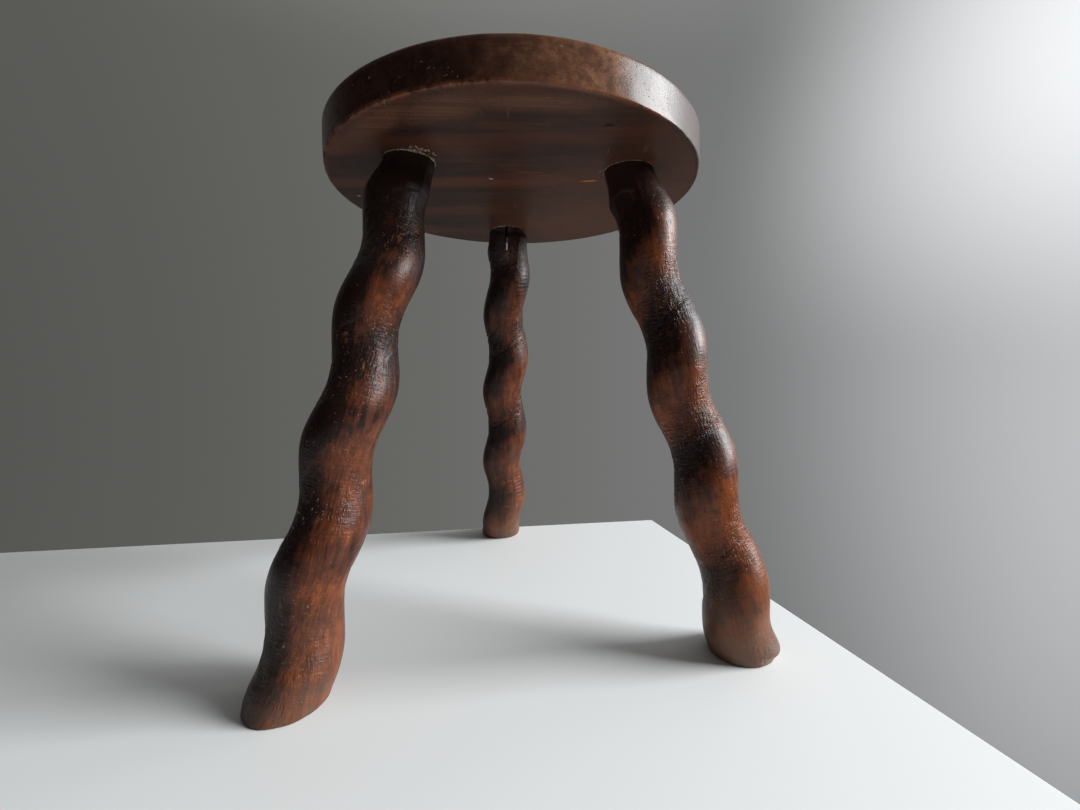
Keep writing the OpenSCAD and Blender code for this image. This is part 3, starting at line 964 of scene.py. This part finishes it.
def seat_material():
    m = Material("seat_stained_wood")
    place = m.place("Object")
    side, low_edge, high_edge = m.attr("side"), m.attr("low_edge"), m.attr("high_edge")
    # The grain runs along X, so the wood's own Z is the world's X
    turned = m.stretch(place, (1, 1, 1), turn=(0, math.pi / 2, 0))
    streak = m.noise(m.stretch(turned, (1, 1, 0.03)), 380, 5, 0.65)
    fibre = m.noise(m.stretch(turned, (1, 1, 0.03)), 1200, 3, 0.6)
    cloud = m.noise(m.stretch(turned, (1, 1, 0.35)), 14, 4, 0.55)
    patchy = m.noise(place, 60, 4, 0.65)
    mottle = m.noise(place, 160, 5, 0.7)
    rings = growth_rings(m, turned, 140, (0.52, 0.02, 0))
    darkness = m.plus(centred(m, cloud, 2.6), centred(m, streak, 2))
    m.colour = m.mix(m.range(darkness, -0.5, 0.5), (0.098, 0.040, 0.022), (0.030, 0.014, 0.011))
    m.paint(m.range(patchy, 0.50, 0.66, 0, 0.5), 0.040, 0.020, 0.016)
    m.paint(m.times(rings, 0.18), 0.030, 0.016, 0.013)
    m.paint(m.range(fibre, 0.42, 0.70, 0, 0.35), 0.024, 0.013, 0.011)
    # Warmer and paler towards the back and the right, with streaks of the same
    x, y, _ = m.split(place)
    backward = m.times_plus(x, 0.80 / SEAT_R, m.times(y, 0.60 / SEAT_R))
    backward = m.plus(backward, m.plus(centred(m, cloud, 1.6), centred(m, streak, 1.2)))
    m.paint(m.range(backward, -0.40, 0.75, 0, 0.75), 0.165, 0.064, 0.034)
    m.paint(m.range(x, 0, -0.60 * SEAT_R, 0, 0.75), 0.022, 0.012, 0.010)
    warm = m.range(m.noise(m.stretch(turned, (1, 1, 0.12)), 24, 3), 0.50, 0.66, 0, 0.65)
    m.paint(warm, 0.145, 0.044, 0.024)
    # The rim: dark stain, paler and mottled brown round the front and right, and in patches
    toward = m.times_plus(x, PALE_RIM_X / SEAT_R, m.times(y, PALE_RIM_Y / SEAT_R))
    middle = (PALE_RIM_X * SEAT_AXIS[0] + PALE_RIM_Y * SEAT_AXIS[1]) / SEAT_R
    toward = m.math("SUBTRACT", toward, middle)
    paler_rim = m.plus(toward, m.plus(centred(m, patchy, 0.7), centred(m, mottle, 0.5)))
    paler_rim = m.range(paler_rim, 0.52, 1.02)
    rim = m.mix(m.range(mottle, 0.38, 0.62), (0.036, 0.013, 0.009), (0.018, 0.007, 0.006))
    pale = m.mix(m.range(mottle, 0.36, 0.60), (0.250, 0.115, 0.060), (0.115, 0.050, 0.029))
    far_right = m.range(x, 0.35 * SEAT_R, 0.47 * SEAT_R, 0, 0.95)
    pale = m.mix(far_right, pale, (0.046, 0.026, 0.020))
    rim = m.mix(paler_rim, rim, pale)
    rim = m.mix(m.range(fibre, 0.45, 0.70, 0, 0.3), rim, (0.030, 0.014, 0.010))
    m.colour = m.mix(side, m.colour, rim)
    edge = m.times(low_edge, m.range(mottle, 0.40, 0.58, 0.05, 1))
    on_right = m.range(x, 0.50 * SEAT_R, 0.66 * SEAT_R)
    worn_edge = m.mix(on_right, (0.20, 0.066, 0.036), (0.020, 0.018, 0.012))
    m.colour = m.mix(m.times(edge, 0.9), m.colour, worn_edge)
    edge = m.times(high_edge, m.range(mottle, 0.36, 0.60, 0.2, 1))
    m.paint(m.times(edge, 0.6), 0.20, 0.105, 0.055)
    open_pores = pores(m, turned, 560, 16)
    m.paint(m.times(open_pores, 0.6), 0.012, 0.007, 0.006)
    scratch = scratches(m, place, 520, 0.04)
    scraped = m.times(scratch, m.times_plus(side, 0.4, 0.3))
    m.paint(scraped, 0.30, 0.21, 0.15)
    patch = m.times(marks(m, place, WORN_PATCHES, 0.9, 0.7), m.range(streak, 0.35, 0.6, 0.3, 0.8))
    m.paint(patch, 0.165, 0.070, 0.038)
    # Painted shade cast by the legs on the underside
    leg_shade = m.times(marks(m, place, LEG_SHADE_PATCHES, 0.5, 0.7), 0.5)
    m.paint(leg_shade, 0.016, 0.009, 0.008)
    # Single marks on the underside
    red = m.times(marks(m, place, RED_STREAKS, 0.8), 0.8)
    m.paint(red, 0.20, 0.038, 0.020)
    red = m.times(marks(m, place, RED_SPOTS, 0.8), 0.7)
    m.paint(red, 0.30, 0.040, 0.022)
    m.paint(mark(m, place, ORANGE_MARK), 0.50, 0.14, 0.035)
    m.paint(marks(m, place, PALE_SPECKS, 0.3), 0.62, 0.58, 0.54)
    m.paint(mark(m, place, KNOT, 0.4), 0.010, 0.007, 0.006)
    rough = m.times_plus(patchy, 0.16, 0.32)
    rough = m.times_plus(side, m.times_plus(far_right, 0.07, -0.14), rough)
    height = m.times_plus(fibre, 0.35, m.times(open_pores, -0.8))
    height = m.times_plus(scratch, -0.4, height)
    height = m.times_plus(mottle, m.times(side, 0.8), height)
    m.shade(
        Base_Color=m.colour, Roughness=rough, Normal=m.bump(height, 0.12 * MM), Specular_IOR_Level=0.23
    )
    return m.material


def glue_material():
    m = Material("dried_glue")
    place = m.place("Object")
    lumps = m.noise(place, 420, 4, 0.65)
    spots = m.noise(place, 1300, 2)
    m.colour = m.mix(m.range(lumps, 0.38, 0.62), (0.30, 0.22, 0.13), (0.085, 0.050, 0.028))
    m.paint(m.range(spots, 0.55, 0.68, 0, 0.6), 0.50, 0.46, 0.38)
    rough = m.range(lumps, 0.3, 0.7, 0.35, 0.6)
    m.shade(Base_Color=m.colour, Roughness=rough, Normal=m.bump(lumps, 0.3 * MM))
    return m.material


def wedge_material():
    m = Material("wedge_end_grain")
    place = m.attr("grain", "Vector")
    speck = m.noise(m.stretch(place, (1, 1, 0.1)), 900, 3, 0.6)
    blotch = m.noise(place, 150, 2)
    m.colour = m.mix(m.range(speck, 0.4, 0.65), (0.20, 0.10, 0.045), (0.08, 0.035, 0.018))
    m.paint(m.range(blotch, 0.4, 0.7, 0, 0.5), 0.05, 0.022, 0.013)
    m.shade(Base_Color=m.colour, Roughness=0.5, Normal=m.bump(speck, 0.15 * MM))
    return m.material


# -------- building

legs = [Leg(side, i + 1) for i, side in enumerate(LEGS)]

LEG_WOOD, SEAT_WOOD, WEDGE_WOOD = leg_material(), seat_material(), wedge_material()
GLUE = glue_material()
# For each leg: its bead's thickness in mm, where it is thickest and its spread in degrees, and the
# number of crumbs beside it
GLUE_BEADS = {"back": (0.25, 250, 70, 0), "left": (1.1, 310, 45, 16), "right": (0.15, 200, 70, 3)}

for leg in legs:
    piece = build_leg(leg)
    finish_with(piece, LEG_WOOD)
    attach(piece, "root")
    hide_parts(leg.side + "_leg")
    piece = build_wedge(leg)
    finish_with(piece, WEDGE_WOOD)
    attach(piece, "root")
    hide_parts(leg.side + "_wedge")
    piece = build_glue(leg, *GLUE_BEADS[leg.side])
    finish_with(piece, GLUE)
    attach(piece, "root")

seat = build_seat()
finish_with(seat, SEAT_WOOD)
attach(seat, "root")
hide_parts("seat")

# -------- floor, lights and camera

# The table's corners from above: the first shows in the photo, behind the stool's right leg
TABLE_CORNERS = [(0.193, 0.213), (-2.2, 0.025), (-2.2, -2.2), (0.60, -2.2)]
TABLE_THICK, TABLE_EDGE_R = 0.03, 0.002
# The camera's lens and sensor, in mm, as the photograph was fitted
LENS, SENSOR = 15.39, 36.0
# Where the camera is: in front of the seat's axis and above the floor, and how it is turned
CAMERA_BEFORE, CAMERA_HIGH = 0.4221, 0.2167
PITCH, YAW, ROLL = -0.059, -0.048, -0.010
# The window: its middle, the point that it looks at, its width and height, its power and its colour
WINDOW, WINDOW_TARGET = Vector((4.56, -0.64, 2.25)), Vector((0, 0, 0.3))
WINDOW_SIZE, WINDOW_WATTS, WINDOW_COLOUR = (2.4, 2.7), 500, (0.97, 0.99, 1.0)


def build_table():
    """A plain pale slab to stand on."""
    points = [(x, y, z) for z in (-TABLE_THICK, 0.0) for x, y in TABLE_CORNERS]
    faces = [[0, 1, 2, 3], [7, 6, 5, 4]] + [[i, 4 + i, 4 + (i + 1) % 4, (i + 1) % 4] for i in range(4)]
    o = new_mesh_of_faces("floor", points, faces)
    edge = o.modifiers.new("edge", "BEVEL")
    edge.width, edge.segments = TABLE_EDGE_R, 3
    m = Material("floor_pale")
    m.shade(Base_Color=(0.68, 0.69, 0.69), Roughness=0.55)
    o.data.materials.append(m.material)


def build_window():
    """Soft daylight from a wide window, high up on the right."""
    data = bpy.data.lights.new("window", "AREA")
    data.shape, data.size, data.size_y = "RECTANGLE", *WINDOW_SIZE
    data.energy, data.color = WINDOW_WATTS, WINDOW_COLOUR
    o = bpy.data.objects.new("window", data)
    bpy.context.scene.collection.objects.link(o)
    o.location = WINDOW
    o.rotation_euler = (WINDOW_TARGET - WINDOW).to_track_quat("-Z", "Y").to_euler()
    o.visible_camera = False


def build_world():
    """A grey wall all round, darker to the left and in front, with daylight at the back right."""
    world = bpy.data.worlds.new("studio")
    bpy.context.scene.world = world
    w = Nodes(world)
    x, y, z = w.split(w.place("Generated"))
    right = w.times(w.range(x, 0.40, 1), 0.42)
    glow = w.times(w.times(w.range(x, 0.35, 0.85), w.range(z, 0, 0.55)), 0.75)
    level = w.plus(w.plus(w.times_plus(x, 0.085, 0.155), right), glow)
    level = w.times(level, w.range(y, 0.05, 0.62, 0.10, 1))
    # The bright patch just outside the photograph's view, which the rim and the legs reflect
    around = w.math("DIVIDE", y, x)
    beside = w.times(w.range(around, 0.02, 0.20), w.range(around, 0.72, 0.46))
    upright = w.times(w.range(z, -0.1, 0.12), w.range(z, 0.62, 0.40))
    beside = w.times(w.times(beside, w.range(x, 0.35, 0.55)), upright)
    level = w.plus(w.times_plus(beside, 1.8, level), w.range(z, 0.50, 0.85, 0, 0.18))
    colour = w.mix(w.range(x, -0.4, 0.8), (1, 1, 0.94), (0.98, 1, 1.02))
    wall = w.node("Background", {0: colour, 1: level})[0]
    w.node("OutputWorld", {0: wall})


def build_camera():
    """The photograph's view: close to the stool and low, looking level at its legs."""
    data = bpy.data.cameras.new("camera")
    data.lens, data.sensor_width, data.sensor_fit = LENS, SENSOR, "HORIZONTAL"
    data.clip_start, data.clip_end = 0.01, 20.0
    camera = bpy.data.objects.new("camera", data)
    bpy.context.scene.collection.objects.link(camera)
    flat = math.cos(PITCH)
    forward = Vector((-math.sin(YAW) * flat, math.cos(YAW) * flat, math.sin(PITCH)))
    level = Vector((math.cos(YAW), math.sin(YAW), 0))
    upright = level.cross(forward)
    right = math.cos(ROLL) * level + math.sin(ROLL) * upright
    up = math.cos(ROLL) * upright - math.sin(ROLL) * level
    turn = Matrix((right, up, -forward)).transposed().to_4x4()
    place = (SEAT_AXIS[0], SEAT_AXIS[1] - CAMERA_BEFORE, CAMERA_HIGH)
    camera.matrix_world = Matrix.Translation(place) @ turn
    bpy.context.scene.camera = camera
    bpy.context.scene.view_settings.view_transform = "Standard"


build_table()
build_world()
build_window()
build_camera()
